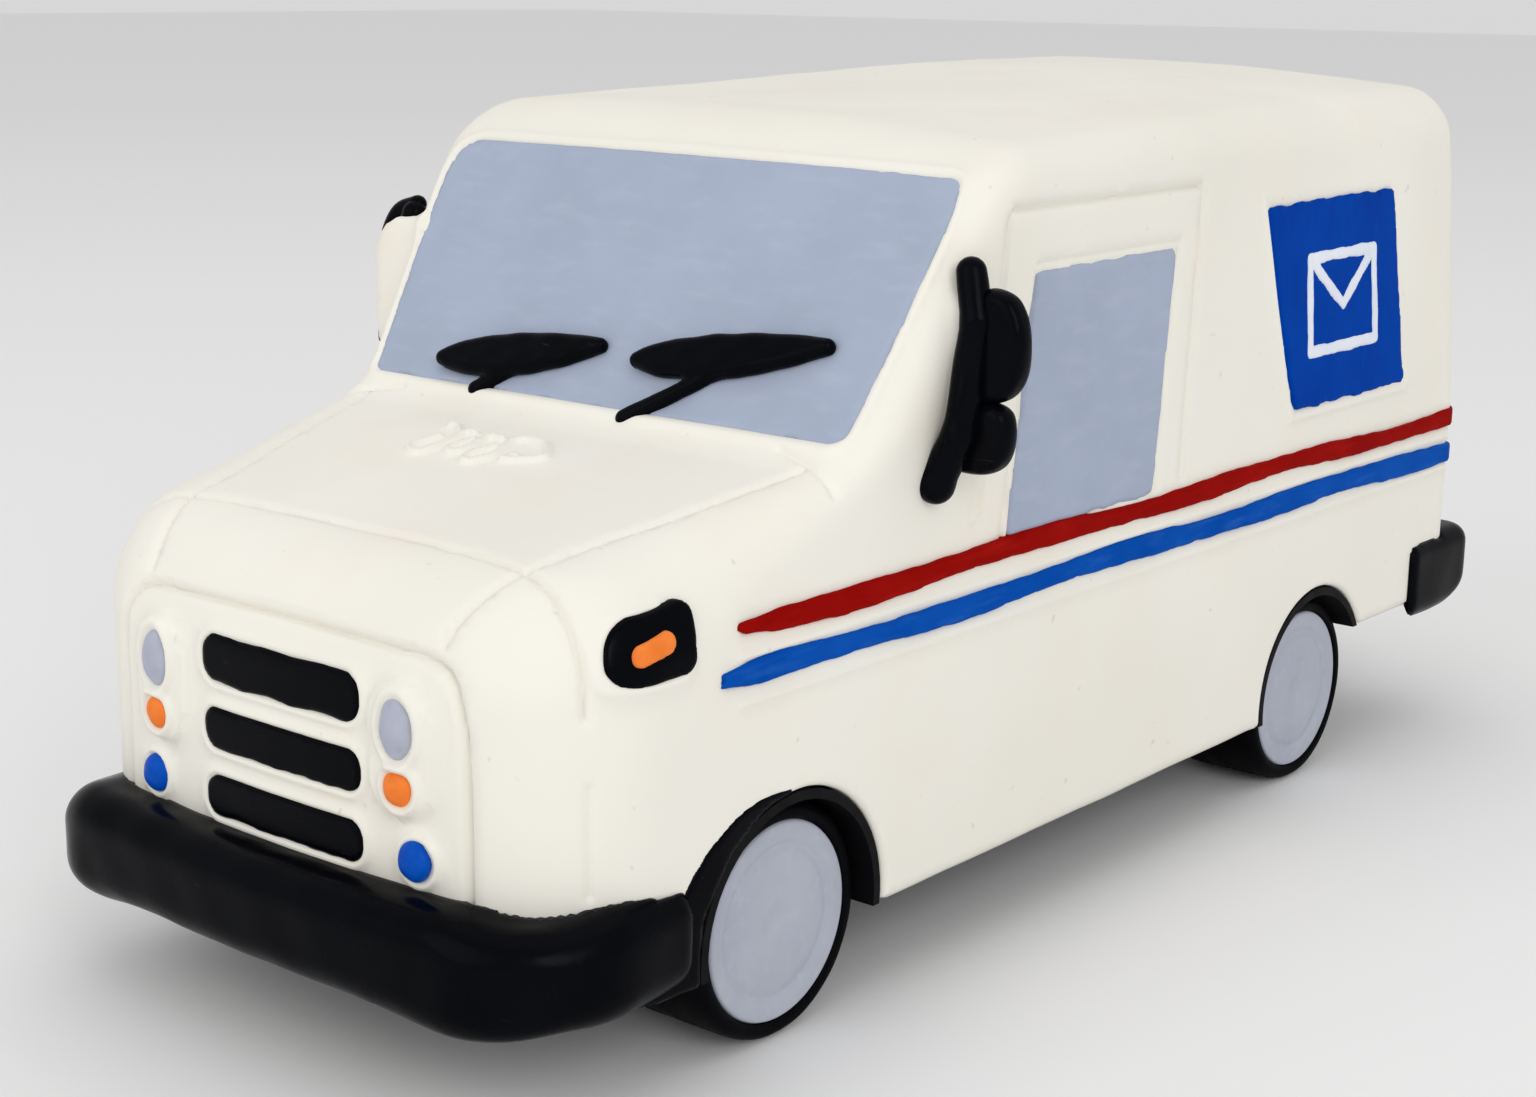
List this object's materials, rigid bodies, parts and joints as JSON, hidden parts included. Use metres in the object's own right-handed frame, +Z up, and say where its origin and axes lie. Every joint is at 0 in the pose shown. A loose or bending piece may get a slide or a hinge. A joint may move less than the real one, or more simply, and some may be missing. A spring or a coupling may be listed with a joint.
{
  "type": "toy mail delivery truck",
  "caption": "Toy mail delivery van with a soft cream shell, short hood, wrap-round bumpers, side mirrors, painted trims and free-rolling wheels on steel axles.",
  "frame": {"origin": "on the ground under the middle of the overall length and width", "axes": "+X forward, +Y the vehicle's left, +Z up"},
  "size_m": [0.1884, 0.0928, 0.089],
  "materials": {
    "cream_shell": "soft moulded rubber, satin cream",
    "chassis_black": "matt black",
    "black_trim": "semi-gloss black paint",
    "window_grey_blue": "satin grey-blue paint",
    "lamp_grey": "satin grey",
    "lens_orange": "gloss orange",
    "lens_blue": "gloss blue",
    "lens_red": "gloss dark red",
    "sign_blue": "satin blue paint",
    "emblem_white": "white paint",
    "stripe_red": "brushed red paint",
    "stripe_blue": "brushed blue paint",
    "steel": "plain steel",
    "hub_grey": "satin light grey",
    "tyre": "smooth black rubber"
  },
  "bodies": {
    "truck_body": {"body_shell": "cream_shell", "chassis_base": "chassis_black", "chassis_screws": "steel", "front_bumper": "black_trim", "rear_bumper": "black_trim", "windshield": "window_grey_blue", "door_window_left": "window_grey_blue", "door_window_right": "window_grey_blue", "grille_bar_top": "black_trim", "grille_bar_middle": "black_trim", "grille_bar_bottom": "black_trim", "headlamp_left": "lamp_grey", "headlamp_right": "lamp_grey", "turn_lamp_left": "lens_orange", "turn_lamp_right": "lens_orange", "marker_lamp_left": "lens_blue", "marker_lamp_right": "lens_blue", "side_marker_housing_left": "black_trim", "side_marker_housing_right": "black_trim", "side_marker_lens_left": "lens_orange", "side_marker_lens_right": "lens_orange", "wiper_left": "black_trim", "wiper_right": "black_trim", "mirror_arm_left": "black_trim", "mirror_arm_right": "black_trim", "mirror_head_left": "black_trim", "mirror_head_right": "black_trim", "mirror_spot_left": "black_trim", "mirror_spot_right": "black_trim", "mail_sign_left": "sign_blue", "mail_sign_right": "sign_blue", "mail_emblem_left": "emblem_white", "mail_emblem_right": "emblem_white", "stripe_red_left": "stripe_red", "stripe_red_right": "stripe_red", "stripe_blue_left": "stripe_blue", "stripe_blue_right": "stripe_blue", "tail_lamp_left": "lens_red", "tail_lamp_right": "lens_red"},
    "front_wheelset": {"front_axle": "steel", "front_hub_left": "hub_grey", "front_hub_right": "hub_grey", "front_tyre_left": "tyre", "front_tyre_right": "tyre"},
    "rear_wheelset": {"rear_axle": "steel", "rear_hub_left": "hub_grey", "rear_hub_right": "hub_grey", "rear_tyre_left": "tyre", "rear_tyre_right": "tyre"}
  },
  "joints": [
    {"name": "front_axle_spin", "type": "hinge", "parent": "truck_body", "child": "front_wheelset", "pos_m": [0.0553, 0, 0.012], "axis": [0, 1, 0], "continuous": true},
    {"name": "rear_axle_spin", "type": "hinge", "parent": "truck_body", "child": "rear_wheelset", "pos_m": [-0.0497, 0, 0.012], "axis": [0, 1, 0], "continuous": true}
  ]
}
